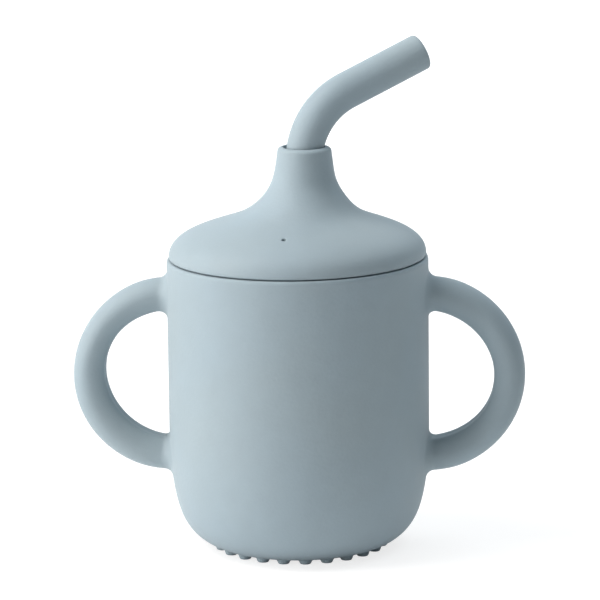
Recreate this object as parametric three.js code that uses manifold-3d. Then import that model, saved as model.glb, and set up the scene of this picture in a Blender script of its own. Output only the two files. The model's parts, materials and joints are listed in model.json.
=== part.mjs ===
// Two-handled toddler's straw cup in soft silicone: a moulded cup, a domed lid with a straw neck
// that plugs into it, and a bent straw.
// Millimetres, +Z up. Origin at the centre of the plane the feet stand on. Handles along X,
// front towards -Y.
import * as THREE from 'three';
import * as BufferGeometryUtils from 'three/addons/utils/BufferGeometryUtils.js';
import Module from 'manifold-3d';

// ---------------------------------------------------------------- driving dimensions
const CUP_RADIUS = 35.0;            // outside of the straight wall
const RIM_Z = 78.95;                // top of the cup's rim
const WALL = 3.2;                   // cup wall
const CUP_BORE = CUP_RADIUS - WALL; // inside radius of the straight wall
const STRAIGHT_WALL_Z = 33.0;       // the wall is straight above this height
const FLOOR_UNDERSIDE_Z = 0.8;      // underside of the floor, above the standing plane
const FLOOR_INSIDE_Z = 4.2;         // inside of the floor

const FOOT_COUNT = 24;              // small round feet under the floor
const FOOT_RING_RADIUS = 22.2;
const FOOT_FACE_RADIUS = 1.4;
const FOOT_ROOT_RADIUS = 1.85;
const FOOT_ROOT_Z = 2.0;            // feet run up into the floor to this height
const FOOT_CLOCKING = -0.7;         // degrees

const HANDLE_CENTRE_X = 33.4;       // centre of each loop's half ellipse
const HANDLE_CENTRE_Z = 46.9;
const HANDLE_REACH = 23.2;          // half axis of the centreline along X
const HANDLE_RISE = 22.33;          // half axis of the centreline along Z
const HANDLE_THICKNESS = 8.45;      // across the section, in the plane of the loop
const HANDLE_GROWTH = 0.085;        // the arms thicken by this share towards the wall
const HANDLE_DEPTH = 10.2;          // along Y
const HANDLE_FILLET = 2.2;          // the blend starts this far from the wall
const FILLET_SPREAD = 0.8;          // widening at the wall, as a share of HANDLE_FILLET

const SEAT_Z = 79.25;               // underside of the lid's flange
const LID_RADIUS = 34.45;
const SKIRT_BOTTOM_Z = 71.0;
const SKIRT_OUTER = 31.2;
const SKIRT_INNER = 28.4;
const BEAD = 0.3;                   // two sealing beads stand this far out of the skirt
const BEAD_HALF_HEIGHT = 0.5;
const BEAD_HEIGHTS = [73.1, 76.1];  // z of the bead crests
const LEAN_START_Z = 79.3;          // the dome drifts off the cup's axis between these heights
const LEAN_END_Z = 97.5;
const NECK_OFFSET_X = 2.05;         // the neck stands a little off the cup's axis
const NECK_TOP_Z = 108.56;
const BORE_RADIUS = 5.1;
const BORE_BOTTOM_Z = 89.0;

const VENT_RADIUS = 0.65;           // pin-hole air vent in the front of the dome
const VENT_LENGTH = 12;             // length of the cutter, along Y
const VENT_X = -1.97;
const VENT_Y = -23.75;
const VENT_Z = 86;

const STRAW_RADIUS = 4.94;
const STRAW_BORE = 3.1;             // radius
const STRAW_END_Z = 8.0;            // lower end, inside the cup
const BEND_START_Z = 104.35;
const BEND_RADIUS = 20.08;
const BEND_STEPS = 9;
const TIP_ELEVATION = 23.33;        // degrees above level
const TIP_LENGTH = 23.7;
const STRAW_AZIMUTH = 23.65;        // degrees round Z from +X, at rest

const CUP_COLOUR = 0xa3b4bc;
const LID_COLOUR = 0xa5b6be;
const STRAW_COLOUR = 0xa1b2ba;

// ---------------------------------------------------------------- solids and booleans
const wasm = await Module();
wasm.setup();

const radians = (degrees) => degrees * Math.PI / 180;

// six times the volume inside the triangles; negative when they face inwards
function signedVolume(positions, indices) {
  const corner = (i) => new THREE.Vector3().fromArray(positions, indices[i] * 3);
  let volume = 0;
  for (let i = 0; i < indices.length; i += 3) {
    volume += corner(i).dot(corner(i + 1).cross(corner(i + 2)));
  }
  return volume;
}

// a manifold from a three.js geometry: vertices merged, no collapsed triangles, faces out
function solid(geometry) {
  for (const name of Object.keys(geometry.attributes)) {
    if (name !== 'position') geometry.deleteAttribute(name);
  }
  const merged = BufferGeometryUtils.mergeVertices(geometry, 1e-4);
  const positions = merged.attributes.position.array;
  const indices = [];
  for (let i = 0; i < merged.index.count; i += 3) {
    const [a, b, c] = merged.index.array.slice(i, i + 3);
    if (a !== b && b !== c && c !== a) indices.push(a, b, c);
  }
  if (signedVolume(positions, indices) < 0) {
    for (let i = 0; i < indices.length; i += 3) {
      [indices[i + 1], indices[i + 2]] = [indices[i + 2], indices[i + 1]];
    }
  }
  return new wasm.Manifold(new wasm.Mesh({
    numProp: 3,
    vertProperties: new Float32Array(positions),
    triVerts: new Uint32Array(indices),
  }));
}

function toGeometry(manifold) {
  const mesh = manifold.getMesh();
  const geometry = new THREE.BufferGeometry();
  const positions = new Float32Array(mesh.vertProperties);
  geometry.setAttribute('position', new THREE.BufferAttribute(positions, 3));
  geometry.setIndex(new THREE.BufferAttribute(new Uint32Array(mesh.triVerts), 1));
  geometry.computeVertexNormals();
  return geometry;
}

// a body of revolution about Z from [radius, z] pairs; shiftAt(z) moves each level along X
function revolve(profile, segments, shiftAt = () => 0) {
  const points = profile.map(([radius, z]) => new THREE.Vector2(radius, z));
  const geometry = new THREE.LatheGeometry(points, segments);
  geometry.rotateX(Math.PI / 2);
  const position = geometry.attributes.position;
  for (let i = 0; i < position.count; i++) {
    position.setX(i, position.getX(i) + shiftAt(position.getZ(i)));
  }
  return solid(geometry);
}

// a path whose sections are taken exactly at the listed stations;
// pointAt(station) gives the point, and stations may be unevenly spaced
class StationPath extends THREE.Curve {
  constructor(stations, pointAt) {
    super();
    this.stations = stations;
    this.pointAt = pointAt;
  }

  // replaces three's spacing by arc length
  getUtoTmapping(u) {
    return u;
  }

  getPoint(t, target = new THREE.Vector3()) {
    const last = this.stations.length - 1;
    const along = THREE.MathUtils.clamp(t, 0, 1) * last;
    const i = Math.min(Math.floor(along), last - 1);
    const [from, to] = [this.stations[i], this.stations[i + 1]];
    return target.copy(this.pointAt(from + (to - from) * (along - i)));
  }
}

// ---------------------------------------------------------------- cup
// [radius, z] of the outside, from the middle of the underside to the rim
const CUP_OUTSIDE = [
  [0, FLOOR_UNDERSIDE_Z], [21.1, FLOOR_UNDERSIDE_Z], [23.2, 1.1], [24.96, 1.73], [26.9, 2.86],
  [28.8, 4.45], [30.3, 6.26], [31.6, 8.5], [32.6, 11.2], [33.5, 14.7], [34.25, 19.2],
  [34.75, 25.0], [CUP_RADIUS, STRAIGHT_WALL_Z],
  [CUP_RADIUS, RIM_Z - 0.8], [CUP_RADIUS - 0.24, RIM_Z - 0.22], [CUP_RADIUS - 0.8, RIM_Z],
];
// [radius, z] of the inside, from the rim down to the middle of the floor
const CUP_INSIDE = [
  [CUP_BORE + 0.4, RIM_Z], [CUP_BORE, RIM_Z - 0.4], [CUP_BORE, STRAIGHT_WALL_Z],
  [31.45, 24.0], [30.8, 17.5], [29.7, 12.6], [28.0, 8.8], [25.9, 6.4], [23.2, 4.9],
  [20.2, FLOOR_INSIDE_Z], [0, FLOOR_INSIDE_Z],
];

// handle section: angles of the rounded side, in degrees, then half of the flattened side
// as [share of half depth, share of half thickness]
const SECTION_ROUND = [0, 22, 45, 67, 90, 113, 135, 158, 180];
const SECTION_FLAT = [[0.92, 0.36], [0.76, 0.73], [0.60, 0.955], [0.5, 1]];

// angles round the handle's half ellipse, in degrees: 0 is the outermost point, 90 the top
const HANDLE_STATIONS = [
  -90, -85, -80, -74, -62, -50, -38, -26, -13, 0, 13, 26, 38, 50, 62, 74, 80, 85, 90,
];

// section of a handle: a plump oval, cut flat on the finger side;
// outwardSign is the sign of section y that faces away from the loop's centre
function handleSection(outwardSign) {
  const shares = [
    ...SECTION_ROUND.map((degrees) => [Math.cos(radians(degrees)), Math.sin(radians(degrees))]),
    ...SECTION_FLAT.map(([x, y]) => [-x, -y]),
    ...SECTION_FLAT.map(([x, y]) => [x, -y]).reverse(),
  ];
  const section = new THREE.Shape(shares.map(([x, y]) => new THREE.Vector2(
    HANDLE_DEPTH / 2 * x, HANDLE_THICKNESS / 2 * y * outwardSign)));
  section.closePath();
  return section;
}

// point of the handle's centreline; side is 1 for +X, -1 for -X
const handleCentre = (side, angle) => new THREE.Vector3(
  side * (HANDLE_CENTRE_X + HANDLE_REACH * Math.cos(angle)),
  0,
  HANDLE_CENTRE_Z + HANDLE_RISE * Math.sin(angle));

// thickens the arms towards the wall, in the plane of the loop
function thickenArm(point, side) {
  const angle = Math.atan2(
    (point.z - HANDLE_CENTRE_Z) / HANDLE_RISE,
    (side * point.x - HANDLE_CENTRE_X) / HANDLE_REACH);
  const growth = 1 + HANDLE_GROWTH * Math.sin(angle) ** 2;
  const centre = handleCentre(side, angle);
  point.x = centre.x + (point.x - centre.x) * growth;
  point.z = centre.z + (point.z - centre.z) * growth;
}

// swells the section where it meets the wall
function blendIntoWall(point, side) {
  const clearance = side * point.x - Math.sqrt(CUP_RADIUS ** 2 - point.y ** 2);
  if (clearance >= HANDLE_FILLET) return;
  const depth = Math.min(1, (HANDLE_FILLET - clearance) / HANDLE_FILLET);
  const swell = HANDLE_FILLET * (1 - Math.sqrt(1 - depth * depth)) * FILLET_SPREAD;
  const armZ = HANDLE_CENTRE_Z + Math.sign(point.z - HANDLE_CENTRE_Z) * HANDLE_RISE;
  const away = new THREE.Vector2(point.y, point.z - armZ).normalize();
  point.y += away.x * swell;
  point.z += away.y * swell;
}

function buildHandle(side) {
  const path = new StationPath(HANDLE_STATIONS.map(radians), (angle) => handleCentre(side, angle));
  const steps = HANDLE_STATIONS.length - 1;
  // section y follows the path's binormal, which may point into or out of the loop
  const { binormals } = path.computeFrenetFrames(steps, false);
  const outwardSign = Math.sign(binormals[steps / 2].x * side);
  const geometry = new THREE.ExtrudeGeometry(handleSection(outwardSign), {
    steps,
    extrudePath: path,
    curveSegments: 1,
  });
  const position = geometry.attributes.position;
  const point = new THREE.Vector3();
  for (let i = 0; i < position.count; i++) {
    point.fromBufferAttribute(position, i);
    thickenArm(point, side);
    blendIntoWall(point, side);
    position.setXYZ(i, point.x, point.y, point.z);
  }
  return solid(geometry);
}

function buildFoot(index) {
  const angle = (index + 0.5) * 2 * Math.PI / FOOT_COUNT + radians(FOOT_CLOCKING);
  const geometry = new THREE.CylinderGeometry(FOOT_ROOT_RADIUS, FOOT_FACE_RADIUS, FOOT_ROOT_Z, 8);
  geometry.rotateX(Math.PI / 2);
  geometry.translate(
    FOOT_RING_RADIUS * Math.cos(angle), FOOT_RING_RADIUS * Math.sin(angle), FOOT_ROOT_Z / 2);
  return solid(geometry);
}

function buildCup() {
  let cup = revolve([...CUP_OUTSIDE, ...CUP_INSIDE], 56);
  for (const side of [1, -1]) cup = cup.add(buildHandle(side));
  for (let i = 0; i < FOOT_COUNT; i++) cup = cup.add(buildFoot(i));
  return cup;
}

// ---------------------------------------------------------------- lid
// [radius, z] of the outside, from the foot of the skirt up to the top of the neck
const LID_OUTSIDE = [
  [0, SKIRT_BOTTOM_Z], [SKIRT_OUTER - 0.5, SKIRT_BOTTOM_Z], [SKIRT_OUTER, SKIRT_BOTTOM_Z + 0.8],
  ...BEAD_HEIGHTS.flatMap((z) => [
    [SKIRT_OUTER, z - BEAD_HALF_HEIGHT], [SKIRT_OUTER + BEAD, z],
    [SKIRT_OUTER, z + BEAD_HALF_HEIGHT],
  ]),
  [SKIRT_OUTER, SEAT_Z], [LID_RADIUS - 0.45, SEAT_Z], [LID_RADIUS, 79.74],
  [34.33, 80.70], [34.04, 81.60], [33.53, 82.51], [32.73, 83.46], [31.49, 84.48],
  [29.62, 85.59], [26.92, 86.78], [23.05, 88.17], [19.04, 89.57], [16.55, 90.66],
  [14.71, 91.77], [13.00, 93.17], [11.37, 94.91], [9.93, 96.88], [8.96, 98.69],
  [8.26, 100.66], [7.68, 103.36], [7.09, 107.56], [6.9, 108.12], [6.45, 108.45],
  [5.95, NECK_TOP_Z], [0, NECK_TOP_Z],
];
// [radius, z] of the hollow under the dome, starting clear below the skirt
const LID_HOLLOW = [
  [0, SKIRT_BOTTOM_Z - 1], [SKIRT_INNER, SKIRT_BOTTOM_Z - 1], [SKIRT_INNER, 80.2],
  [27.6, 82.0], [25.6, 83.7], [22.0, 85.3], [17.0, 87.2], [13.0, 88.7], [9.5, 90.0],
  [7.5, 90.5], [0, 90.5],
];
// [radius, z] of the hole for the straw, flared at the mouth and ending clear above the neck
const NECK_BORE = [
  [0, BORE_BOTTOM_Z], [BORE_RADIUS, BORE_BOTTOM_Z], [BORE_RADIUS, 103.9], [5.45, 107.2],
  [5.6, 108.2], [5.85, NECK_TOP_Z + 0.02], [5.85, NECK_TOP_Z + 1], [0, NECK_TOP_Z + 1],
];

// the dome leans so that its neck stands off the cup's axis
const lean = (z) => NECK_OFFSET_X * THREE.MathUtils.smoothstep(z, LEAN_START_Z, LEAN_END_Z);

function buildVent() {
  const geometry = new THREE.CylinderGeometry(VENT_RADIUS, VENT_RADIUS, VENT_LENGTH, 10);
  geometry.rotateX(Math.PI / 2);
  // the cylinder now stands along Z
  geometry.translate(VENT_X, VENT_Y, VENT_Z);
  return solid(geometry);
}

function buildLid() {
  return revolve(LID_OUTSIDE, 48, lean)
    .subtract(revolve(LID_HOLLOW, 48, lean))
    .subtract(revolve(NECK_BORE, 40, () => NECK_OFFSET_X))
    .subtract(buildVent());
}

// ---------------------------------------------------------------- straw
const BEND_ANGLE = radians(90 - TIP_ELEVATION);
const BEND_LENGTH = BEND_RADIUS * BEND_ANGLE;
const STRAIGHT_LENGTH = BEND_START_Z - STRAW_END_Z;

// centreline point at a distance from the lower end, bending towards +X
function strawCentre(distance) {
  const pastStraight = distance - STRAIGHT_LENGTH;
  const angle = THREE.MathUtils.clamp(pastStraight, 0, BEND_LENGTH) / BEND_RADIUS;
  const tip = Math.max(0, pastStraight - BEND_LENGTH);
  return new THREE.Vector3(
    BEND_RADIUS * (1 - Math.cos(angle)) + tip * Math.sin(BEND_ANGLE),
    0,
    STRAW_END_Z + Math.min(distance, STRAIGHT_LENGTH)
      + BEND_RADIUS * Math.sin(angle) + tip * Math.cos(BEND_ANGLE));
}

function buildStraw() {
  const stations = [0, STRAIGHT_LENGTH / 2, STRAIGHT_LENGTH];
  for (let i = 1; i <= BEND_STEPS; i++) {
    stations.push(STRAIGHT_LENGTH + BEND_LENGTH * i / BEND_STEPS);
  }
  stations.push(STRAIGHT_LENGTH + BEND_LENGTH + TIP_LENGTH);

  const section = new THREE.Shape();
  section.absarc(0, 0, STRAW_RADIUS, 0, 2 * Math.PI, false);
  const hole = new THREE.Path();
  hole.absarc(0, 0, STRAW_BORE, 0, 2 * Math.PI, true);
  section.holes.push(hole);

  const geometry = new THREE.ExtrudeGeometry(section, {
    steps: stations.length - 1,
    extrudePath: new StationPath(stations, strawCentre),
    curveSegments: 13,
  });
  geometry.rotateZ(radians(STRAW_AZIMUTH));
  geometry.translate(NECK_OFFSET_X, 0, 0);
  return solid(geometry);
}

// ---------------------------------------------------------------- assembly
const silicone = (color) => new THREE.MeshStandardMaterial({
  color,
  roughness: 0.62,
  metalness: 0.0,
});

function buildMesh(name, body, colour) {
  const mesh = new THREE.Mesh(toGeometry(body), silicone(colour));
  mesh.name = name;
  return mesh;
}

const group = new THREE.Group();
group.name = 'straw_cup';
group.add(
  buildMesh('cup', buildCup(), CUP_COLOUR),
  buildMesh('lid', buildLid(), LID_COLOUR),
  buildMesh('straw', buildStraw(), STRAW_COLOUR),
);

export default group;
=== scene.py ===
"""Two-handled silicone straw cup: the looks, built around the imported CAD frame.

The cup stands on the floor, z = 0, with its axis on Z and its handles reaching out along +X and -X.
The lid's neck and the straw share an upright axis set off along X. The camera looks from the -Y side.
Cup, lid and straw are each one closed mesh laid out row by row. Shapes are drawn in millimetres and
built in metres; floor, lights and camera are in metres.
"""
import json
import math

import bmesh
import bpy
import numpy as np
from mathutils import Matrix, Vector


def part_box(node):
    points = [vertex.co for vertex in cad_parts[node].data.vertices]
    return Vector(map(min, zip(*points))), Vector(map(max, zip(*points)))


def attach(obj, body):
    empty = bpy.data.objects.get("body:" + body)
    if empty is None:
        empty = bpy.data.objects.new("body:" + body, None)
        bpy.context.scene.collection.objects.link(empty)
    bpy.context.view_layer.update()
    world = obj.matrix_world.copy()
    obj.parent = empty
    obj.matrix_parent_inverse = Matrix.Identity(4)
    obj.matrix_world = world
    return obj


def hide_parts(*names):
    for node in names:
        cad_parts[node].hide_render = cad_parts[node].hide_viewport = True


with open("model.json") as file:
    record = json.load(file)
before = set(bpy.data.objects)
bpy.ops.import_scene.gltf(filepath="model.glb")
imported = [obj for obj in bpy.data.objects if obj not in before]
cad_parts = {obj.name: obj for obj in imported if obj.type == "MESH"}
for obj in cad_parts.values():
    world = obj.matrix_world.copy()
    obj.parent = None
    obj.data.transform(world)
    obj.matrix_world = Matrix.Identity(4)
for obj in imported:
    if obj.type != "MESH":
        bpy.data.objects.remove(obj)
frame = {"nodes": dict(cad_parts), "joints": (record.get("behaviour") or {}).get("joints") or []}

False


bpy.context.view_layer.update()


# ------------------------------------------------------------------ places taken from the frame, mm
def box_mm(node):
    return [np.array(corner) * 1000.0 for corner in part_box(node)]


_, cup_high = box_mm("cup")
lid_low, lid_high = box_mm("lid")
straw_low, _ = box_mm("straw")
swivel = next(j for j in frame["joints"] if j["name"] == "straw_swivel")

CUP_R = cup_high[1]                   # outside of the straight wall
RIM_Z = cup_high[2]                   # top of the cup's rim
REACH = cup_high[0]                   # outermost point of a handle
SKIRT_BOTTOM = lid_low[2]
NECK_TOP = lid_high[2]
NECK_X = swivel["pos_m"][0] * 1000.0  # the axis of neck and straw
STRAW_END = straw_low[2]


# ------------------------------------------------------------------ a small quad-mesh kit
class Skin:
    """A closed mesh in the making: vertices in millimetres and faces of vertex indices."""

    def __init__(self):
        self.chunks, self.count, self.faces = [], 0, []

    def add(self, points):
        """adds vertices and returns their indices"""
        points = np.asarray(points, float).reshape(-1, 3)
        self.chunks.append(points)
        first = self.count
        self.count += len(points)
        return np.arange(first, self.count)

    def points(self):
        return np.concatenate(self.chunks)

    def strip(self, ring, following):
        """quads between two equal closed rings of indices"""
        for i in range(len(ring)):
            j = (i + 1) % len(ring)
            self.faces.append((ring[i], ring[j], following[j], following[i]))

    def grow(self, ring, points):
        """adds a ring of points, joins it to the one before and returns it"""
        following = self.add(points)
        self.strip(ring, following)
        return following

    def grid(self, index, keep=None):
        """quads over rows of indices, each row a closed ring; keep says which cells are made"""
        rows, cols = index.shape
        for i in range(rows - 1):
            for j in range(cols):
                if keep is None or keep[i, j]:
                    k = (j + 1) % cols
                    self.faces.append((index[i, j], index[i, k], index[i + 1, k], index[i + 1, j]))

    def fan(self, ring, height):
        """closes a ring with triangles to a point on the Z axis"""
        centre = self.add([[0, 0, height]])[0]
        for i in range(len(ring)):
            self.faces.append((ring[i], ring[(i + 1) % len(ring)], centre))

    def build(self, name):
        """makes the object, leaving out vertices that no face uses"""
        coords = self.points() * 0.001
        used = np.zeros(len(coords), bool)
        for face in self.faces:
            used[list(face)] = True
        renumber = np.cumsum(used) - 1
        faces = [tuple(int(renumber[i]) for i in face) for face in self.faces]
        mesh = bpy.data.meshes.new(name)
        mesh.from_pydata(coords[used].tolist(), [], faces)
        mesh.update()
        bm = bmesh.new()
        bm.from_mesh(mesh)
        open_edges = sum(1 for edge in bm.edges if len(edge.link_faces) != 2)
        if open_edges:
            raise RuntimeError(f"{name}: {open_edges} open edges")
        bmesh.ops.recalc_face_normals(bm, faces=bm.faces)
        if bm.calc_volume(signed=True) < 0:
            bmesh.ops.reverse_faces(bm, faces=bm.faces)
        bm.to_mesh(mesh)
        bm.free()
        mesh.polygons.foreach_set("use_smooth", np.ones(len(mesh.polygons), bool))
        mesh.update()
        ob = bpy.data.objects.new(name, mesh)
        bpy.context.scene.collection.objects.link(ob)
        return ob


class Profile:
    """Stations of a section in order; each has a radius, a height and sometimes a shift along X."""

    def __init__(self):
        self.parts = []

    def __len__(self):
        return sum(part.shape[1] for part in self.parts)

    def add(self, *columns):
        columns = [np.atleast_1d(column) for column in columns]
        self.parts.append(np.array(np.broadcast_arrays(*columns), float))

    def columns(self):
        return np.hstack(self.parts)


def revolve(radius, height, angles, shift=0.0, twist=0.0):
    """a profile turned round Z, row by row; a row can be shifted along X or twisted round Z"""
    turned = angles + np.reshape(twist, (-1, 1))
    x = radius[:, None] * np.cos(turned) + np.reshape(shift, (-1, 1))
    y = radius[:, None] * np.sin(turned)
    return np.stack([x, y, np.repeat(height[:, None], len(angles), 1)], -1)


def run_length(x, y):
    """distance along a line of points, at each of them"""
    return np.r_[0, np.cumsum(np.hypot(np.diff(x), np.diff(y)))]


def resample(radius, height, step):
    run = run_length(radius, height)
    count = max(2, int(round(run[-1] / step)) + 1)
    at = np.linspace(0, run[-1], count)
    return np.array([np.interp(at, run, radius), np.interp(at, run, height)])


def arc(x, z, half_x, start, end, count, half_z=None):
    """part of a circle, or of an ellipse where half_z is given, between two angles in degrees"""
    angle = np.radians(np.linspace(start, end, count))
    half_z = half_x if half_z is None else half_z
    return np.array([x + half_x * np.cos(angle), z + half_z * np.sin(angle)])


def smooth(t):
    """eases from 0 to 1 as t does, level at both ends"""
    t = np.clip(t, 0, 1)
    return t * t * (3 - 2 * t)


def bspline(control, count):
    """points along a clamped uniform cubic B-spline"""
    control = np.asarray(control, float)
    knots = np.r_[[0] * 3, np.linspace(0, 1, len(control) - 2), [1] * 3]
    points = []
    for t in np.linspace(0, 1, count):
        t = min(t, 1.0 - 1e-12)
        span = int(np.searchsorted(knots, t, side="right")) - 1
        blend = [control[span - 3 + i] for i in range(4)]
        for level in range(1, 4):
            for i in range(3, level - 1, -1):
                low, high = knots[span - 3 + i], knots[span + 1 + i - level]
                weight = (t - low) / (high - low)
                blend[i] = (1 - weight) * blend[i - 1] + weight * blend[i]
        points.append(blend[3])
    return np.array(points)


# A block is a patch of 2 * wide by 2 * high cells, cut out of a grid so that something can join on.
# Its corners are counted (i, j) from its middle, i along the row and j across the rows.
def perimeter(wide, high):
    """corners round a block, starting at (-wide, +high) and going towards +wide"""
    corners = [(i, high) for i in range(-wide, wide)]
    corners += [(wide, j) for j in range(high, -high, -1)]
    corners += [(i, -high) for i in range(wide, -wide, -1)]
    corners += [(-wide, j) for j in range(-high, high)]
    return corners


def cut_block(keep, row, col, wide, high):
    keep[row - high:row + high, (col + np.arange(-wide, wide)) % keep.shape[1]] = False


def block_ring(index, row, col, around, row_way=1, col_way=1):
    """the grid's vertices round a block; a way of -1 counts rows or columns backwards"""
    cols = index.shape[1]
    return np.array([index[row + row_way * j, (col + col_way * i) % cols] for i, j in around])


def block_angle(i, j, wide, high):
    """direction of a corner when its block is rounded into a disc; (0, +high) is at 90 degrees"""
    share = max(abs(i) / wide, abs(j) / high)
    quarter = wide + high
    if abs(i) * high <= abs(j) * wide:
        steps = -i / share if j > 0 else i / share - 2 * quarter
    else:
        steps = j / share - quarter if i > 0 else quarter - j / share
    return np.pi / 2 + steps * np.pi / (2 * quarter)


# ------------------------------------------------------------------ cup: drawing of the revolved body
WALL = 3.2
FLOOR_Z = 0.8046                      # underside of the floor
FLOOR_TOP = 4.2                       # inside of the floor
RIM_ROLL, RIM_DROP = 0.55, 1.2        # outside rounding of the rim: width, height
RIM_ROUND = 0.5                       # inside rounding of the rim
# the wall turns into the floor with this radius of curvature at every ten degrees of turn
TURN_RADII = [132.81, 51.07, 21.70, 13.82, 13.41, 14.65, 12.77, 10.45, 8.574, 7.034]

turn = np.linspace(0, np.pi / 2, 2001)
turn_radius = np.interp(turn, np.radians(np.arange(0, 91, 10)), TURN_RADII)
turn_step = turn[1] - turn[0]
curve_r = CUP_R - np.r_[0, np.cumsum((turn_radius * np.sin(turn))[:-1] * turn_step)]
curve_z = -np.r_[0, np.cumsum((turn_radius * np.cos(turn))[:-1] * turn_step)]
curve_z = curve_z - curve_z[-1] + FLOOR_Z
normal_r, normal_z = np.cos(turn), -np.sin(turn)


def outer_r(z):
    """outside radius of the body at height z, on the wall"""
    return np.interp(z, curve_z[::-1], curve_r[::-1], right=CUP_R)


def under_z(radius):
    """height of the body's underside at a radius"""
    return np.interp(radius, curve_r[::-1], curve_z[::-1], left=FLOOR_Z)


# ------------------------------------------------------------------ cup: handles as a distance field
# The centreline of a handle is half an ellipse in the XZ plane, with an arm at each end running
# straight in to the wall. Tables are keyed by side: 1 for +X, -1 for -X.
LOOP_X, LOOP_Z = 33.4, 46.9           # centre of the ellipse
LOOP_HALF_X = REACH - LOOP_X - 4.45
LOOP_HALF_Z = 22.33
# the soft loops have each relaxed a little differently: drift of the centreline and half thickness,
# as cubics of the sine of the angle along the loop (-1 at the lower arm, +1 at the upper)
DRIFT = {1: (0.33, -0.15, -0.29, 0.22), -1: (0.10, 0.07, -0.21, -0.11)}
THICK = {1: (4.11, 0.14, 0.49, -0.18), -1: (4.29, -0.73, 0.23, 0.66)}
ARM_PINCH, PINCH_COS = 0.165, 0.42    # drawn in by this where the angle's cosine is below that
# fillets into the wall, for the upper and then the lower arm: (finger side, outside)
FILLETS = {1: ((2.45, 2.15), (2.1, 1.9)), -1: ((2.95, 2.15), (1.9, 1.9))}
FILLET_SPAN = 4.4                     # the fillet changes over this distance either side of an arm
SIDE_FILLET = 3.2                     # fillet on an arm's -Y and +Y sides

# section: a plump oval, deeper along Y than it is thick, cut flat on the finger side
HALF_DEPTH = 5.1
FLAT_HALF = 2.95                      # half the width of the flat
INNER_POWER = 1.8                     # how straight the sides run in towards the flat
INNER_REACH = (1 - (FLAT_HALF / HALF_DEPTH) ** INNER_POWER) ** (-1 / INNER_POWER)
CORNER = 0.50                         # rounding where the flat meets the sides
RIDGE, RIDGE_WIDTH = 0.12, 0.22       # fine parting line along the middle of the flat


def along(cubic, sine):
    """a cubic along the loop, drawn in a little where the arms meet the wall"""
    cosine = np.sqrt(np.maximum(1 - np.square(sine), 0.0))
    value = cubic[0] + sine * (cubic[1] + sine * (cubic[2] + sine * cubic[3]))
    return value - ARM_PINCH * smooth((PINCH_COS - cosine) / PINCH_COS)


def section_norm(out, across, half):
    """1 on the uncut oval; out points away from the fingers, across is along Y"""
    reach = np.where(out >= 0, out / half, -out / (half * INNER_REACH))
    power = np.where(out >= 0, 2.0, INNER_POWER)
    return (np.abs(reach) ** power + np.abs(across / HALF_DEPTH) ** power + 1e-12) ** (1 / power)


def section_distance(out, across, half):
    """signed distance, roughly, from a section of that half thickness"""
    e = 1e-4
    norm = section_norm(out, across, half)
    slope_out = (section_norm(out + e, across, half) - section_norm(out - e, across, half)) / (2 * e)
    slope_across = (section_norm(out, across + e, half)
                    - section_norm(out, across - e, half)) / (2 * e)
    oval = (norm - 1) / np.sqrt(slope_out * slope_out + slope_across * slope_across + 1e-6) + CORNER
    flat = -(out + half) + CORNER
    both = np.sqrt(np.maximum(oval, 0) ** 2 + np.maximum(flat, 0) ** 2)
    distance = np.where((oval > 0) & (flat > 0), both, np.maximum(oval, flat)) - CORNER
    finger_side = 1 / (1 + np.exp(np.clip((out + 0.55 * half) * 4, -40, 40)))
    return distance - RIDGE * finger_side * np.exp(-((across / RIDGE_WIDTH) ** 2))


def handle_distance(points, side):
    x, y, z = points[:, 0] * side, points[:, 1], points[:, 2]
    dx, dz = np.maximum(x - LOOP_X, 0.0), z - LOOP_Z
    angle = np.arctan2(dz / LOOP_HALF_Z, dx / LOOP_HALF_X)
    for _ in range(4):                # Newton steps to the nearest point of the centreline
        cos, sin = np.cos(angle), np.sin(angle)
        gap_x, gap_z = dx - LOOP_HALF_X * cos, dz - LOOP_HALF_Z * sin
        tangent_x, tangent_z = -LOOP_HALF_X * sin, LOOP_HALF_Z * cos
        slope = gap_x * tangent_x + gap_z * tangent_z
        change = (-(tangent_x * tangent_x + tangent_z * tangent_z)
                  + gap_x * (-LOOP_HALF_X * cos) + gap_z * (-LOOP_HALF_Z * sin))
        angle = angle - slope / np.where(np.abs(change) < 1e-9, 1e-9, change)
        angle = np.clip(angle, -np.pi / 2, np.pi / 2)
    cos, sin = np.cos(angle), np.sin(angle)
    normal_x, normal_up = cos / LOOP_HALF_X, sin / LOOP_HALF_Z
    out_arc = ((dx - LOOP_HALF_X * cos) * normal_x
               + (dz - LOOP_HALF_Z * sin) * normal_up) / np.hypot(normal_x, normal_up)
    out = np.where(x > LOOP_X, out_arc, np.abs(dz) - LOOP_HALF_Z)
    sine = np.where(x > LOOP_X, sin, np.sign(dz))
    return section_distance(out - along(DRIFT[side], sine), y, along(THICK[side], sine))


def wall_distance(points):
    z = points[:, 2]
    e = 0.01
    slope = (outer_r(z + e) - outer_r(z - e)) / (2 * e)
    return (np.hypot(points[:, 0], points[:, 1]) - outer_r(z)) / np.sqrt(1 + slope * slope)


def skin_field(points, side):
    """wall and handle joined with a fillet, tight above and below an arm and wide at its sides"""
    wall, handle = wall_distance(points), handle_distance(points, side)
    up = (np.abs(points[:, 2] - LOOP_Z) - LOOP_HALF_Z) / FILLET_SPAN
    across = np.square(points[:, 1] / HALF_DEPTH)
    sidelong = across / (across + up * up + 1e-6)
    outside = smooth(0.5 + 0.5 * up)  # from 0 on the finger side of the arm to 1 on its outside
    upper, lower = [a + (b - a) * outside for a, b in FILLETS[side]]
    fillet = np.where(points[:, 2] > LOOP_Z, upper, lower)
    fillet = fillet + (SIDE_FILLET - fillet) * sidelong * sidelong
    in_wall, in_handle = np.maximum(fillet - wall, 0), np.maximum(fillet - handle, 0)
    joined = fillet - np.sqrt(in_wall * in_wall + in_handle * in_handle)
    return np.where((wall < fillet) & (handle < fillet), joined, np.minimum(wall, handle))


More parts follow.
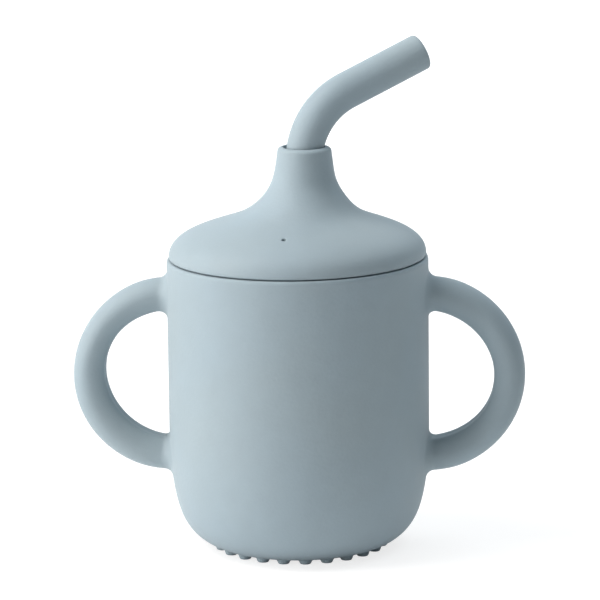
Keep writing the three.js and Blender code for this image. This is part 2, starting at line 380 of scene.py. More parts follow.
def settle(points, side):
    """moves points on to the joined skin"""
    points = points.copy()
    e = 1e-3
    for _ in range(12):
        field = skin_field(points, side)
        slope = np.stack([(skin_field(points + axis * e, side)
                           - skin_field(points - axis * e, side)) / (2 * e)
                          for axis in np.eye(3)], -1)
        step = (field / np.maximum((slope * slope).sum(1), 0.2))[:, None] * slope
        length = np.linalg.norm(step, axis=1, keepdims=True)
        points -= step * np.minimum(1, 0.6 / np.maximum(length, 1e-9))
    return points


def seam_drop(points):
    """the lid is pressed down a hair further on the -X side, and the soft rim with it"""
    x, z = points[..., 0], points[..., 2]
    return (0.155 - 0.0057 * x) * smooth((z - 76.9) / 1.1) * smooth((84.0 - z) / 3.8)


# ------------------------------------------------------------------ cup: the mesh
CUP_COLS = 288
CELL = 2 * np.pi / CUP_COLS * CUP_R   # one column's width on the wall
ARM_WIDE, ARM_HIGH = 16, 10           # an arm's block, in half sizes
# spacing of the section's points across half the flat, from its middle to its edge
FLAT_SPACING = np.array([0, 0.1, 0.2, 0.3, 0.42, 0.58, 0.8, 1.05, 1.32, 1.6, 1.88, 2.15, 2.4, 2.62,
                         2.8, 2.95, 3.08]) / 3.08
TUBE_END = math.radians(78.5)         # the tube covers the loop between these angles, up and down
TUBE_RINGS = 73
BLEND_STEPS = 10                      # rings between a block's edge and the tube

FEET = 24
FOOT_RING = 22.2                      # radius of the ring of feet
FOOT_TURN = math.radians(-0.7)        # clocking of the ring of feet
FOOT_PATCH = 2.36                     # half the radial size of a foot's block
FOOT_WIDE, FOOT_HIGH = 5, 3           # a foot's block, in half sizes
FOOT_PITCH = CUP_COLS // FEET         # columns from foot to foot
# a foot from the floor down: radius, share of the underside's height, height added
FOOT_PROFILE = [
    (2.16, 1, 0), (2.02, 1, -0.012), (1.91, 1, -0.06), (1.83, 1, -0.15), (1.76, 0.45, 0.2735),
    (1.66, 0, 0.50), (1.57, 0, 0.30), (1.52, 0, 0.19), (1.46, 0, 0.10), (1.37, 0, 0.035),
    (1.25, 0, 0.006), (1.12, 0, 0),
]


def cup_profile():
    """the body's section from the underside's middle, over the rim, to the middle inside

    Also gives the middle rows of the blocks for the feet, the lower arms and the upper arms.
    """
    rows = Profile()
    rows.add([1.0, 3.0, 6.0, 9.0, 12.0, 15.0, 17.6, 19.0], FLOOR_Z)
    foot_row = len(rows) + FOOT_HIGH
    foot_r = FOOT_RING + np.linspace(-FOOT_PATCH, FOOT_PATCH, 2 * FOOT_HIGH + 1)
    rows.add(foot_r, under_z(foot_r))

    # up the curve to the lower arms, and on up the wall
    block = np.arange(-ARM_HIGH, ARM_HIGH + 1) * CELL
    low_block, high_block = LOOP_Z - LOOP_HALF_Z + block, LOOP_Z + LOOP_HALF_Z + block
    between = (curve_r > foot_r[-1] + 0.01) & (curve_z < low_block[0])
    rise_r = np.r_[foot_r[-1], curve_r[between][::-1], outer_r(low_block[0])]
    rise_z = np.r_[under_z(foot_r[-1]), curve_z[between][::-1], low_block[0]]
    rows.add(*resample(rise_r, rise_z, 0.85)[:, 1:-1])
    low_row = len(rows) + ARM_HIGH
    rows.add(outer_r(low_block), low_block)
    middle = np.linspace(low_block[-1], high_block[0], 35)[1:-1]
    rows.add(outer_r(middle), middle)
    high_row = len(rows) + ARM_HIGH
    rows.add(outer_r(high_block), high_block)

    # rim: rolled over outside, level top, small round inside
    inner = CUP_R - WALL
    rows.add(*arc(CUP_R - RIM_ROLL, RIM_Z - RIM_DROP, RIM_ROLL, 0, 90, 11, half_z=RIM_DROP))
    rows.add([inner + 1.45, inner + 0.9, inner + 0.55], RIM_Z)
    rows.add(*arc(inner + RIM_ROUND, RIM_Z - RIM_ROUND, RIM_ROUND, 90, 180, 6)[:, 1:])

    # inside wall, down the same curve, about one wall's thickness in
    depth = WALL + 0.2 * np.clip((normal_z - 0.3) / -0.7, 0, 1)
    inside_r = curve_r - normal_r * depth
    floor_extra = FLOOR_TOP - FLOOR_Z - WALL
    inside_z = curve_z - normal_z * (WALL + floor_extra * np.abs(normal_z) ** 2)
    rows.add(*resample([inner, inner], [RIM_Z - RIM_ROUND, inside_z[0]], 1.7)[:, 1:-1])
    inside = resample(inside_r, inside_z, 1.1)
    rows.add(*inside)
    rows.add(np.array([0.82, 0.6, 0.4, 0.2, 0.07]) * inside[0, -1], inside[1, -1])
    return *rows.columns(), foot_row, low_row, high_row


def arm_section(around):
    """the handle's section at each corner round a block: out in half thicknesses, across in mm"""
    flat_angle = math.acos((FLAT_HALF / HALF_DEPTH) ** (INNER_POWER / 2))
    section = []
    for i, j in around:
        if j == ARM_HIGH:             # outside
            angle = math.radians(90 - i * 45 / ARM_WIDE)
            section.append((math.sin(angle), HALF_DEPTH * math.cos(angle)))
        elif j >= 0:                  # sides, outer half
            angle = math.radians(45 * j / ARM_HIGH)
            section.append((math.sin(angle), math.copysign(HALF_DEPTH * math.cos(angle), i)))
        elif j > -ARM_HIGH:           # sides, running in to the flat
            angle = flat_angle * -j / ARM_HIGH
            across = HALF_DEPTH * math.cos(angle) ** (2 / INNER_POWER)
            section.append((-INNER_REACH * math.sin(angle) ** (2 / INNER_POWER),
                            math.copysign(across, i)))
        else:                         # flat
            section.append((-1.0, math.copysign(FLAT_HALF * FLAT_SPACING[abs(i)], i)))
    return np.array(section).T


def add_handle(skin, index, side, mid_col, low_row, high_row):
    """one handle: a tube round the loop, then both arms blended into the wall"""
    around = perimeter(ARM_WIDE, ARM_HIGH)
    outs, acrosses = arm_section(around)

    def out_by(sine):
        return along(DRIFT[side], sine) + outs * along(THICK[side], sine)

    tube = []
    for angle in np.linspace(TUBE_END, -TUBE_END, TUBE_RINGS):
        normal_x, normal_up = math.cos(angle) / LOOP_HALF_X, math.sin(angle) / LOOP_HALF_Z
        length = math.hypot(normal_x, normal_up)
        out = out_by(math.sin(angle))
        x = LOOP_X + LOOP_HALF_X * math.cos(angle) + out * normal_x / length
        z = LOOP_Z + LOOP_HALF_Z * math.sin(angle) + out * normal_up / length
        tube.append(np.stack([side * x, acrosses, z], -1))
    tube = settle(np.concatenate(tube), side).reshape(TUBE_RINGS, -1, 3)
    rings = [skin.add(points) for points in tube]
    for ring, following in zip(rings[:-1], rings[1:]):
        skin.strip(ring, following)

    for arm, row, end in ((1, high_row, 0), (-1, low_row, -1)):
        ring = block_ring(index, row, mid_col, around, row_way=arm, col_way=side)
        edge = skin.points()[ring]
        root_z = LOOP_Z + arm * (LOOP_HALF_Z + out_by(arm))
        root_x = side * np.sqrt(outer_r(root_z) ** 2 - acrosses ** 2)
        root = np.stack([root_x, acrosses, root_z], -1)
        for k in range(1, BLEND_STEPS):
            t = k / BLEND_STEPS
            blend = (1 - t) ** 2 * edge + 2 * t * (1 - t) * root + t * t * tube[end]
            ring = skin.grow(ring, settle(blend, side))
        skin.strip(ring, rings[end])


def add_foot(skin, index, foot_row, col):
    """a small tapered stud blended into the floor, its flat end on z = 0"""
    azimuth = col * 2 * np.pi / CUP_COLS + FOOT_TURN
    outward = np.array([math.cos(azimuth), math.sin(azimuth)])
    sideways = np.array([-math.sin(azimuth), math.cos(azimuth)])

    def about(radius, angle):
        return (outward * FOOT_RING + radius * (np.outer(np.cos(angle), sideways)
                                                + np.outer(np.sin(angle), outward)))

    around = perimeter(FOOT_WIDE, FOOT_HIGH)
    angles = np.array([block_angle(i, j, FOOT_WIDE, FOOT_HIGH) for i, j in around])
    ring = block_ring(index, foot_row, col, around)
    for radius, share, added in FOOT_PROFILE:
        xy = about(radius, angles)
        base = under_z(np.hypot(xy[:, 0], xy[:, 1]))
        ring = skin.grow(ring, np.column_stack([xy, share * base + added]))

    cap = dict(zip(around, ring))
    for i in range(1 - FOOT_WIDE, FOOT_WIDE):
        for j in range(1 - FOOT_HIGH, FOOT_HIGH):
            share = max(abs(i) / FOOT_WIDE, abs(j) / FOOT_HIGH)
            angle = block_angle(i, j, FOOT_WIDE, FOOT_HIGH) if share else 0.0
            xy = about(FOOT_PROFILE[-1][0] * share, angle)
            cap[(i, j)] = skin.add(np.column_stack([xy, [0.0]]))[0]
    for i in range(-FOOT_WIDE, FOOT_WIDE):
        for j in range(-FOOT_HIGH, FOOT_HIGH):
            skin.faces.append((cap[(i, j)], cap[(i + 1, j)], cap[(i + 1, j + 1)], cap[(i, j + 1)]))


def build_cup():
    skin = Skin()
    radius, height, foot_row, low_row, high_row = cup_profile()
    rows = len(radius)

    # columns follow the feet below and the handles on the wall; they twist over in between
    twist_top, foot_top = low_row - ARM_HIGH - 4, foot_row + FOOT_HIGH
    twist = FOOT_TURN * np.clip((twist_top - np.arange(rows)) / (twist_top - foot_top), 0, 1)
    angles = np.arange(CUP_COLS) * 2 * np.pi / CUP_COLS
    wall = revolve(radius, height, angles, twist=twist)
    wall[..., 2] -= seam_drop(wall)
    index = skin.add(wall).reshape(rows, CUP_COLS)

    handles = ((1, 0), (-1, CUP_COLS // 2))                 # side, middle column
    foot_cols = [FOOT_PITCH // 2 + FOOT_PITCH * k for k in range(FEET)]
    keep = np.ones((rows - 1, CUP_COLS), bool)
    for _, mid_col in handles:
        for row in (low_row, high_row):
            cut_block(keep, row, mid_col, ARM_WIDE, ARM_HIGH)
    for col in foot_cols:
        cut_block(keep, foot_row, col, FOOT_WIDE, FOOT_HIGH)
    skin.grid(index, keep)
    skin.fan(index[0], FLOOR_Z)
    skin.fan(index[-1], height[-1])

    for side, mid_col in handles:
        add_handle(skin, index, side, mid_col, low_row, high_row)
    for col in foot_cols:
        add_foot(skin, index, foot_row, col)
    return skin.build("cup_body")


# ------------------------------------------------------------------ lid
LID_COLS = 240
SEAT_Z = RIM_Z + 0.30                 # underside of the lid's flange
SKIRT_OUT, SKIRT_IN = 31.2, 28.4      # outside and inside radius of the skirt
BEADS_Z = (73.1, 76.1)                # two sealing beads round the skirt
BEAD_HEIGHT, BEAD_WIDTH = 0.28, 0.36
BORE_R = 5.1                          # bore of the neck
LIP_LEAN = 0.12                       # extra shift of the neck's outside towards its lip
# outside of dome and neck, radius and height: control points of a smooth curve from the flange's
# edge to just under the lip
DOME = [(34.430, 79.739), (34.400, 83.764), (24.760, 87.884), (15.542, 90.353),
        (10.403, 95.686), (8.089, 100.114), (7.62, 104.192), (7.20, 107.561)]
# underside of the dome, radius and height, from the bore out to the skirt
HOLLOW = [(7.5, 90.5), (9.5, 90.05), (13.0, 88.75), (17.0, 87.2),
          (22.0, 85.35), (25.6, 83.75), (27.5, 82.1), (28.3, 80.2)]
# mouth of the neck, radius and height, from under the lip down to the bore
MOUTH = [(5.47, 107.7), (5.38, 107.1), (5.27, 106.2), (5.17, 105.2), (BORE_R, 103.9)]

VENT_AT, VENT_AZ = 23.93, math.radians(-96.97)   # place of the vent, before the dome's lean
VENT_R = 0.65
VENT_HALF = 2                         # half size of the vent's block
VENT_CELL = 0.62                      # height of its cells along the section
VENT_DEPTH = 0.9                      # how far its end rings go in from dome and underside
# rings of the hole, outside edge then inside edge: radius beyond VENT_R, height above the surface
VENT_TOP = [(0.30, 0.0), (0.16, -0.012), (0.07, -0.05), (0.015, -0.13), (0.0, -0.26),
            (0.0, -VENT_DEPTH)]
VENT_UNDER = [(0.0, VENT_DEPTH), (0.0, 0.25), (0.1, 0.05), (0.28, 0.0)]


def lean(z):
    """shift along X that carries the dome over from the cup's axis to the neck's"""
    return NECK_X * smooth((np.asarray(z, float) - 79.3) / (97.5 - 79.3))


def vent_stations(radius, run, first_step, rest_step):
    """distances along a section with the vent's rows fitted in, and the number of its middle one"""
    start = run[np.argmin(np.abs(radius - VENT_AT))] - VENT_HALF * VENT_CELL
    first = np.linspace(0, start, int(round(start / first_step)) + 1)
    block = start + np.arange(1, 2 * VENT_HALF + 1) * VENT_CELL
    left = run[-1] - block[-1]
    rest = np.linspace(block[-1], run[-1], int(round(left / rest_step)) + 1)[1:]
    return np.r_[first, block, rest], len(first) - 1 + VENT_HALF


def lid_profile():
    """the lid's section: flange, dome, neck, bore, underside, skirt; and the vent's two rows"""
    rows = Profile()
    # flange: seat and rounded lower edge
    rows.add([SKIRT_OUT, 32.4, 33.4], SEAT_Z, lean(SEAT_Z))
    edge = arc(DOME[0][0] - 0.5, SEAT_Z + 0.5, 0.5, -90, 0, 7)[:, :-1]
    rows.add(*edge, lean(edge[1]))

    # dome and outside of the neck
    dome_r, dome_z = bspline(DOME, 700).T
    run = run_length(dome_r, dome_z)
    at, vent_row = vent_stations(dome_r, run, first_step=0.6, rest_step=0.62)
    vent_top = len(rows) + vent_row
    height = np.interp(at, run, dome_z)
    rows.add(np.interp(at, run, dome_r), height,
             lean(height) + LIP_LEAN * smooth((height - 99.0) / 7.0))

    # lip of the neck: rolled over outwards, close round the straw inside
    lip_r, lip_z = arc(5.73, NECK_TOP - 1.0, 1.45, 0, 90, 12, half_z=1.0)[:, 1:]
    rows.add(lip_r, lip_z, NECK_X + LIP_LEAN * ((lip_r - 5.73) / 1.45) ** 2)
    rows.add(*arc(5.71, NECK_TOP - 0.34, 0.13, 90, 180, 7, half_z=0.34)[:, 1:], NECK_X)
    rows.add(*np.array(MOUTH).T, NECK_X)
    rows.add(BORE_R, np.linspace(103.0, 91.2, 10), NECK_X)
    rows.add(*arc(BORE_R + 0.5, 91.0, 0.5, 180, 270, 5)[:, 1:], NECK_X)

    # underside of the dome
    corners_r, corners_z = np.array(HOLLOW).T
    run = run_length(corners_r, corners_z)
    at = np.linspace(0, run[-1], 400)
    hollow_r, hollow_z = np.interp(at, run, corners_r), np.interp(at, run, corners_z)
    for _ in range(400):              # ease the corners of the drawn line
        for line in (hollow_r, hollow_z):
            line[1:-1] = (line[:-2] + 2 * line[1:-1] + line[2:]) / 4
    run = run_length(hollow_r, hollow_z)
    at, vent_row = vent_stations(hollow_r, run, first_step=1.0, rest_step=1.0)
    vent_under = len(rows) + vent_row
    height = np.interp(at, run, hollow_z)
    by_neck = np.interp(at, [0, 3.0], [1, 0])
    rows.add(np.interp(at, run, hollow_r), height,
             NECK_X * by_neck + lean(height) * (1 - by_neck))

    # skirt: inside, rounded end, outside with its beads
    rows.add(SKIRT_IN, np.linspace(79.4, SKIRT_BOTTOM + 0.9, 8), 0.0)
    rows.add(*arc(SKIRT_IN + 0.7, SKIRT_BOTTOM + 0.7, 0.7, 180, 270, 6)[:, 1:], 0.0)
    rows.add(29.9, SKIRT_BOTTOM, 0.0)
    rows.add(*arc(SKIRT_OUT - 0.8, SKIRT_BOTTOM + 0.8, 0.8, -90, 0, 6), 0.0)
    height = np.r_[np.linspace(SKIRT_BOTTOM + 1.2, 77.4, 34), 78.2, SEAT_Z - 0.35]
    bead = sum(np.exp(-((height - z) / BEAD_WIDTH) ** 2) for z in BEADS_Z)
    rows.add(SKIRT_OUT + BEAD_HEIGHT * bead, height, 0.0)
    rows.add(SKIRT_OUT + 0.06, SEAT_Z - 0.08, 0.0)
    return *rows.columns(), vent_top, vent_under


def add_vent(skin, index, points, top_row, under_row):
    """a straight pin-hole down through the dome, with soft edges"""
    around = perimeter(VENT_HALF, VENT_HALF)
    # the dome is walked inwards and its underside outwards, so their rows run opposite ways
    ring = block_ring(index, top_row, 0, around)
    under_ring = block_ring(index, under_row, 0, around, row_way=-1)
    sideways = np.array([-math.sin(VENT_AZ), math.cos(VENT_AZ), 0.0])
    outward = np.array([math.cos(VENT_AZ), math.sin(VENT_AZ), 0.0])
    angles = np.array([block_angle(i, j, VENT_HALF, VENT_HALF) for i, j in around])
    # +j is towards the neck on the dome
    directions = np.outer(np.cos(angles), sideways) - np.outer(np.sin(angles), outward)

    def hole_ring(row, radius, above):
        """a ring that follows the slope of the surface at a row, raised by above"""
        centre = points[row, 0]
        rise = points[row + 1, 0] - points[row - 1, 0]
        slope = rise[2] / (rise[:2] @ outward[:2])
        hole = centre + radius * directions
        hole[:, 2] += slope * (hole[:, :2] - centre[:2]) @ outward[:2] + above
        return hole

    for extra, above in VENT_TOP:
        ring = skin.grow(ring, hole_ring(top_row, VENT_R + extra, above))
    offset = points[top_row, 0, :2] - points[under_row, 0, :2]
    for extra, above in VENT_UNDER:
        hole = hole_ring(under_row, VENT_R + extra, above)
        hole[:, :2] += offset * min(1.0, above / VENT_DEPTH)
        ring = skin.grow(ring, hole)
    skin.strip(ring, under_ring)


def build_lid():
    skin = Skin()
    radius, height, shift, vent_top, vent_under = lid_profile()
    # the columns are turned so that the vent is centred on the first
    angles = VENT_AZ + np.arange(LID_COLS) * 2 * np.pi / LID_COLS
    points = revolve(radius, height, angles, shift=shift)
    points[..., 2] -= seam_drop(points)
    index = skin.add(points).reshape(-1, LID_COLS)
    keep = np.ones(index.shape, bool)
    for row in (vent_top, vent_under):
        cut_block(keep, row, 0, VENT_HALF, VENT_HALF)
    skin.grid(np.vstack([index, index[:1]]), keep)
    add_vent(skin, index, points, vent_top, vent_under)
    return skin.build("lid_dome")


# ------------------------------------------------------------------ straw
STRAW_COLS = 72
STRAW_R, STRAW_BORE = 4.94, 3.1
BEND_Z, BEND_R = 104.35, 20.08        # height where the bend starts, radius of its centreline
TIP_RISE = 23.33                      # slope of the tip above level, degrees
TIP_LENGTH = 23.7
STRAW_AZ = math.radians(23.65)        # the tip points this far round from +X
TIP_ROUND, TIP_BORE_ROUND = 0.85, 0.45
END_ROUND, END_BORE_ROUND = 0.5, 0.35


def build_straw():
    bend_turn = math.radians(90 - TIP_RISE)
    straight = BEND_Z - STRAW_END
    bend_end = straight + BEND_R * bend_turn
    total = bend_end + TIP_LENGTH

    # radius, and distance along the straw in place of height
    rows = Profile()
    rows.add(*arc(STRAW_R - END_ROUND, END_ROUND, END_ROUND, -90, 0, 7))
    rows.add(STRAW_R, np.linspace(3, straight - 3, 44))
    rows.add(STRAW_R, np.linspace(straight - 1, bend_end + 1, 40))
    rows.add(STRAW_R, np.linspace(bend_end + 2.2, total - 1.6, 22))
    rows.add(*arc(STRAW_R - TIP_ROUND, total - TIP_ROUND, TIP_ROUND, 0, 90, 10))
    rows.add(*arc(STRAW_BORE + TIP_BORE_ROUND, total - TIP_BORE_ROUND, TIP_BORE_ROUND, 90, 180, 6))
    rows.add(STRAW_BORE, np.linspace(total - 1.6, bend_end + 2.2, 12))
    rows.add(STRAW_BORE, np.linspace(bend_end + 1, straight - 1, 32))
    rows.add(STRAW_BORE, np.linspace(straight - 3, 3, 24))
    rows.add(*arc(STRAW_BORE + END_BORE_ROUND, END_BORE_ROUND, END_BORE_ROUND, 180, 270, 6))
    radius, run = rows.columns()[..., None]

    # bend the tube over towards +X, then turn it round its own axis
    bend = np.clip((run - straight) / BEND_R, 0, bend_turn)
    in_tip = np.maximum(run - bend_end, 0)
    centre_x = BEND_R * (1 - np.cos(bend)) + in_tip * math.sin(bend_turn)
    centre_z = (STRAW_END + np.minimum(run, straight) + BEND_R * np.sin(bend)
                + in_tip * math.cos(bend_turn))
    angles = np.arange(STRAW_COLS) * 2 * np.pi / STRAW_COLS
    x = centre_x + radius * np.cos(angles) * np.cos(bend)
    y = radius * np.sin(angles)
    z = centre_z - radius * np.cos(angles) * np.sin(bend)
    cos, sin = math.cos(STRAW_AZ), math.sin(STRAW_AZ)
    points = np.stack([x * cos - y * sin + NECK_X, x * sin + y * cos, z], -1)

    skin = Skin()
    index = skin.add(points).reshape(-1, STRAW_COLS)
    skin.grid(np.vstack([index, index[:1]]))
    return skin.build("straw_tube")


# ------------------------------------------------------------------ silicone
def empty_tree(owner):
    """node tree of a material or world, cleared"""
    owner.use_nodes = True
    owner.node_tree.nodes.clear()
    return owner.node_tree


def add_node(tree, kind, inputs=None, **settings):
    """a shader node; an input takes a value, an output socket or a node (its first output)"""
    node = tree.nodes.new("ShaderNode" + kind)
    for name, value in settings.items():
        setattr(node, name, value)
    for socket, value in (inputs or {}).items():
        if isinstance(value, bpy.types.Node):
            value = value.outputs[0]
        if isinstance(value, bpy.types.NodeSocket):
            tree.links.new(value, node.inputs[socket])
        else:
            node.inputs[socket].default_value = value
    return node


def silicone(name, base, seed):
    """Matte, powder-soft moulded silicone: faint clouds of colour, satin grain, soft edge sheen."""
    mat = bpy.data.materials.new(name)
    tree = empty_tree(mat)
    coord = add_node(tree, "TexCoord")
    shift = add_node(tree, "Mapping", {
        0: coord.outputs["Object"], "Location": (0.37 * seed, 0.21 * seed, 0.13 * seed)})

    def noise(scale, detail, roughness=0.5):
        return add_node(tree, "TexNoise", {
            "Vector": shift, "Scale": scale, "Detail": detail,
            "Roughness": roughness}).outputs["Fac"]

    def remap(value, span, to):
        return add_node(tree, "MapRange", {
            "Value": value, "From Min": span[0], "From Max": span[1],
            "To Min": to[0], "To Max": to[1]}).outputs["Result"]

    def times(first, second):
        return add_node(tree, "Math", {0: first, 1: second}, operation="MULTIPLY")

    cloud = noise(scale=26.0, detail=2.0)                    # drift of pigment, centimetres across
    mottle = noise(scale=210.0, detail=3.0)                  # handling bloom, millimetres across
    grain = noise(scale=2600.0, detail=2.0, roughness=0.6)   # moulded grain, tenths of a millimetre
    speck = add_node(tree, "TexVoronoi", {"Vector": shift, "Scale": 900.0})

    # colour: each texture brightens and darkens it slightly, and the clouds also cool it
    brightness = times(times(remap(cloud, span=(0.3, 0.7), to=(0.978, 1.022)),
                             remap(mottle, span=(0.3, 0.7), to=(0.981, 1.019))),
                       remap(grain, span=(0.25, 0.75), to=(0.985, 1.015)))
    red, green, blue = base
    tint = add_node(tree, "Mix", {
        "A": (red, green, blue, 1), "B": (red * 0.965, green * 0.985, blue * 1.01, 1),
        "Factor": remap(cloud, span=(0.35, 0.65), to=(0, 1))}, data_type="RGBA")
    colour = add_node(tree, "VectorMath", {0: tint.outputs["Result"], "Scale": brightness},
                      operation="SCALE")
    roughness = times(remap(mottle, span=(0.3, 0.7), to=(0.55, 0.66)),
                      remap(grain, span=(0.2, 0.8), to=(0.95, 1.05)))

    # relief, depths in metres
    fine = add_node(tree, "Bump", {"Strength": 0.50, "Distance": 0.00003, "Height": grain})
    soft = add_node(tree, "Bump", {
        "Strength": 0.35, "Distance": 0.00005, "Normal": fine,
        "Height": remap(speck.outputs["Distance"], span=(0.0, 0.7), to=(0.0, 1.0))})

    bsdf = add_node(tree, "BsdfPrincipled", {
        "Base Color": colour,
        "Roughness": roughness,
        "IOR": 1.41,
        "Specular IOR Level": 0.42,
        "Sheen Weight": 0.10,
        "Sheen Roughness": 0.45,
        "Sheen Tint": (0.86, 0.93, 0.97, 1),
        "Subsurface Weight": 0.10,
        "Subsurface Radius": (1.0, 0.95, 0.9),
        "Subsurface Scale": 0.0010,
        "Normal": soft,
    })
    add_node(tree, "OutputMaterial", {0: bsdf})
    return mat


BASE = (0.2895, 0.362, 0.3995)        # slate blue, linear
SHADES = {"cup": 1.0, "lid": 1.01, "straw": 0.99}   # brightness of each piece

pieces = {"cup": build_cup(), "lid": build_lid(), "straw": build_straw()}
for seed, (part, ob) in enumerate(pieces.items(), start=1):
    base = tuple(c * SHADES[part] for c in BASE)
    ob.data.materials.append(silicone(f"silicone_{part}", base, seed))
    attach(ob, part)
    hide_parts(part)

# the CAD solids stay hidden, but carry the same finish
for node, ob in frame["nodes"].items():
    finish = bpy.data.materials[f"silicone_{node}"]
    if ob.data.materials:
        for i in range(len(ob.data.materials)):
            ob.data.materials[i] = finish
    else:
        ob.data.materials.append(finish)

# ------------------------------------------------------------------ floor and world
scene = bpy.context.scene
scene.view_settings.view_transform = "Standard"
scene.view_settings.look = "None"
scene.view_settings.exposure = 0.0
scene.view_settings.gamma = 1.0

WHITE = (1, 1, 1, 1)
SWEEP_WHITE = 0.985                   # level of the background where the camera sees it
FLOOR_R = 6.0
# glow of the table, distance from the cup's axis and strength; taken down to nothing right under the
# cup as a painted contact shadow
TABLE_GLOW = [(0.0, 0.0), (0.022, 0.0), (0.033, 0.35), (0.048, 0.52), (0.095, 0.55),
              (0.12, 0.22), (0.22, 0.20), (0.30, 0.16), (0.55, 0.20), (0.70, 0.93)]


def floor_material():
    """A lightbox table that glows up at the cup, but shows the camera a pale even sweep."""
    mat = bpy.data.materials.new("pale_floor")
    tree = empty_tree(mat)
    place = add_node(tree, "NewGeometry")
    away = add_node(tree, "VectorMath", {0: place.outputs["Position"]},
                    operation="LENGTH").outputs["Value"]

    # what the cup is lit by
    bounce = add_node(tree, "BsdfDiffuse", {"Color": (0.55, 0.55, 0.55, 1)})
    # strength of the glow by distance; its dark middle is painted contact shadow under the cup
    spread = add_node(tree, "ValToRGB", {0: away})
    stops = spread.color_ramp.elements
    while len(stops) < len(TABLE_GLOW):
        stops.new(0.5)
    for k, (distance, level) in enumerate(TABLE_GLOW):
        stops[k].position = distance
        stops[k].color = (level, level, level, 1)
    lit = add_node(tree, "Emission", {"Color": WHITE, "Strength": spread}, name="table_light")
    table = add_node(tree, "AddShader", {0: bounce, 1: lit})

    # what the camera sees: the sweep stays white as the lamps fall off
    seen = add_node(tree, "BsdfDiffuse", {"Color": (0.35, 0.35, 0.35, 1)})
    far = add_node(tree, "MapRange", {
        "Value": away, "From Min": 0.25, "From Max": 1.3, "To Min": 0.76, "To Max": SWEEP_WHITE})
    glow = add_node(tree, "Emission", {"Color": WHITE, "Strength": far.outputs["Result"]})
    sweep = add_node(tree, "AddShader", {0: seen, 1: glow})

    path = add_node(tree, "LightPath")
    pick = add_node(tree, "MixShader", {0: path.outputs["Is Camera Ray"], 1: table, 2: sweep})
    add_node(tree, "OutputMaterial", {0: pick})
    return mat


def build_floor():
    """a 96-sided disc on z = 0"""
    mesh = bpy.data.meshes.new("floor")
    rim = [(FLOOR_R * math.cos(a), FLOOR_R * math.sin(a), 0.0)
           for a in np.linspace(0, 2 * math.pi, 97)[:-1]]
    mesh.from_pydata(rim, [], [tuple(range(96))])
    floor = bpy.data.objects.new("floor", mesh)
    scene.collection.objects.link(floor)
    mesh.materials.append(floor_material())


def build_world():
    """white where the camera sees it; it gives no light of its own"""
    world = bpy.data.worlds.new("studio")
    scene.world = world
    tree = empty_tree(world)
    seen = add_node(tree, "Background", {"Color": WHITE, "Strength": SWEEP_WHITE})
    light = add_node(tree, "Background", {"Color": (0.93, 1.0, 1.03, 1), "Strength": 0.0},
                     name="sky_light")
    path = add_node(tree, "LightPath")
    pick = add_node(tree, "MixShader", {0: path.outputs["Is Camera Ray"], 1: light, 2: seen})
    add_node(tree, "OutputWorld", {0: pick})


build_floor()
build_world()

# ------------------------------------------------------------------ lights
CAMERA_AZ = math.radians(3.65)        # the camera stands a little to +X of straight in front
AIM = Vector((0.0, 0.0, 0.070))       # the lights face this point
LIGHT_DISTANCE, LIGHT_SIZE = 1.3, 0.7
WARM, COOL = (1.035, 0.985, 0.95), (0.93, 1.0, 1.045)
# name, azimuth from the camera's side (negative to its left), elevation, watts, colour
SOFTBOXES = [
    ("key_left", -80, 60, 9.51, WARM),
    ("key_left_mid", -80, 38, 6.57, WARM),
    ("key_back_left", -120, 60, 1.10, WARM),
    ("back_left_low", -120, 15, 1.08, WARM),
    ("back_left_corner", -150, 15, 1.05, COOL),
    ("side_left", -90, 5, 6.38, WARM),
    ("low_left", -65, 5, 6.20, WARM),
    ("front_left", -40, 5, 4.20, WARM),
    ("front", -15, 5, 0.48, COOL),
    ("right", 90, 60, 5.20, COOL),
    ("right_back_low", 120, 15, 1.44, COOL),
    ("back_right", 150, 38, 2.68, COOL),
    ("back_low", 180, 15, 1.42, COOL),
    ("back_mid", 180, 38, 0.84, COOL),
    ("back_high", 180, 60, 1.97, COOL),
]


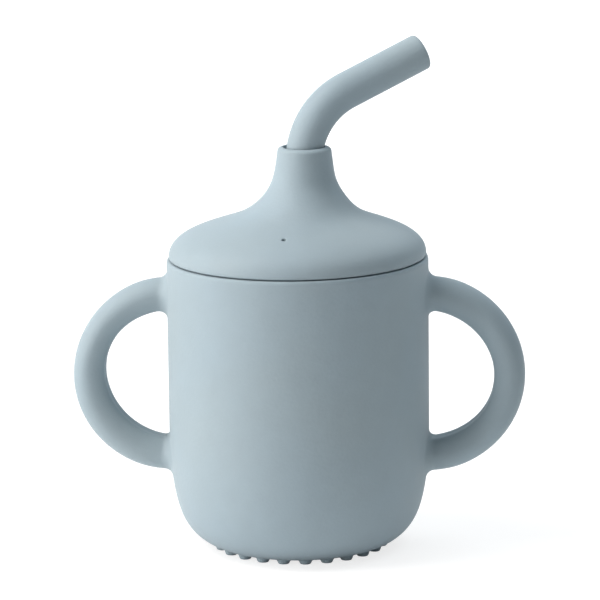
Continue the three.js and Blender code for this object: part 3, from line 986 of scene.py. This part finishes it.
def add_softbox(name, azimuth, elevation, watts, colour):
    around = math.radians(azimuth) + CAMERA_AZ
    up = math.radians(elevation)
    data = bpy.data.lights.new(name, "AREA")
    data.shape = "RECTANGLE"
    data.size = data.size_y = LIGHT_SIZE
    data.energy = watts
    data.color = colour
    ob = bpy.data.objects.new(name, data)
    scene.collection.objects.link(ob)
    ob.visible_camera = False
    ob.location = AIM + LIGHT_DISTANCE * Vector((
        math.sin(around) * math.cos(up), -math.cos(around) * math.cos(up), math.sin(up)))
    ob.rotation_mode = "QUATERNION"
    ob.rotation_quaternion = (ob.location - AIM).to_track_quat("Z", "Y")


for softbox in SOFTBOXES:
    add_softbox(*softbox)

# ------------------------------------------------------------------ camera
# a long lens, above the cup and looking down on it
CAMERA_DISTANCE, CAMERA_HEIGHT = 1.00784, 0.27413   # from the cup's axis, above the floor
PITCH, ROLL = 0.20268, -0.01127       # radians, pitch downwards
HEADING = CAMERA_AZ - 0.00043         # it looks very slightly past the cup's axis
LENS, SENSOR = 230.43, 36.0           # millimetres


def add_camera():
    data = bpy.data.cameras.new("camera")
    data.sensor_width = SENSOR
    data.sensor_fit = "HORIZONTAL"
    data.lens = LENS
    data.clip_start, data.clip_end = 0.05, 30.0
    data.shift_x, data.shift_y = 0.00075, -0.00058
    camera = bpy.data.objects.new("camera", data)
    scene.collection.objects.link(camera)
    forward = Vector((-math.sin(HEADING) * math.cos(PITCH), math.cos(HEADING) * math.cos(PITCH),
                      -math.sin(PITCH)))
    right = Vector((math.cos(HEADING), math.sin(HEADING), 0.0))
    up = right.cross(forward)
    rolled_right = math.cos(ROLL) * right + math.sin(ROLL) * up
    rolled_up = -math.sin(ROLL) * right + math.cos(ROLL) * up
    matrix = Matrix((rolled_right, rolled_up, -forward)).transposed().to_4x4()
    matrix.translation = Vector((CAMERA_DISTANCE * math.sin(CAMERA_AZ),
                                 -CAMERA_DISTANCE * math.cos(CAMERA_AZ), CAMERA_HEIGHT))
    camera.matrix_world = matrix
    scene.camera = camera


add_camera()
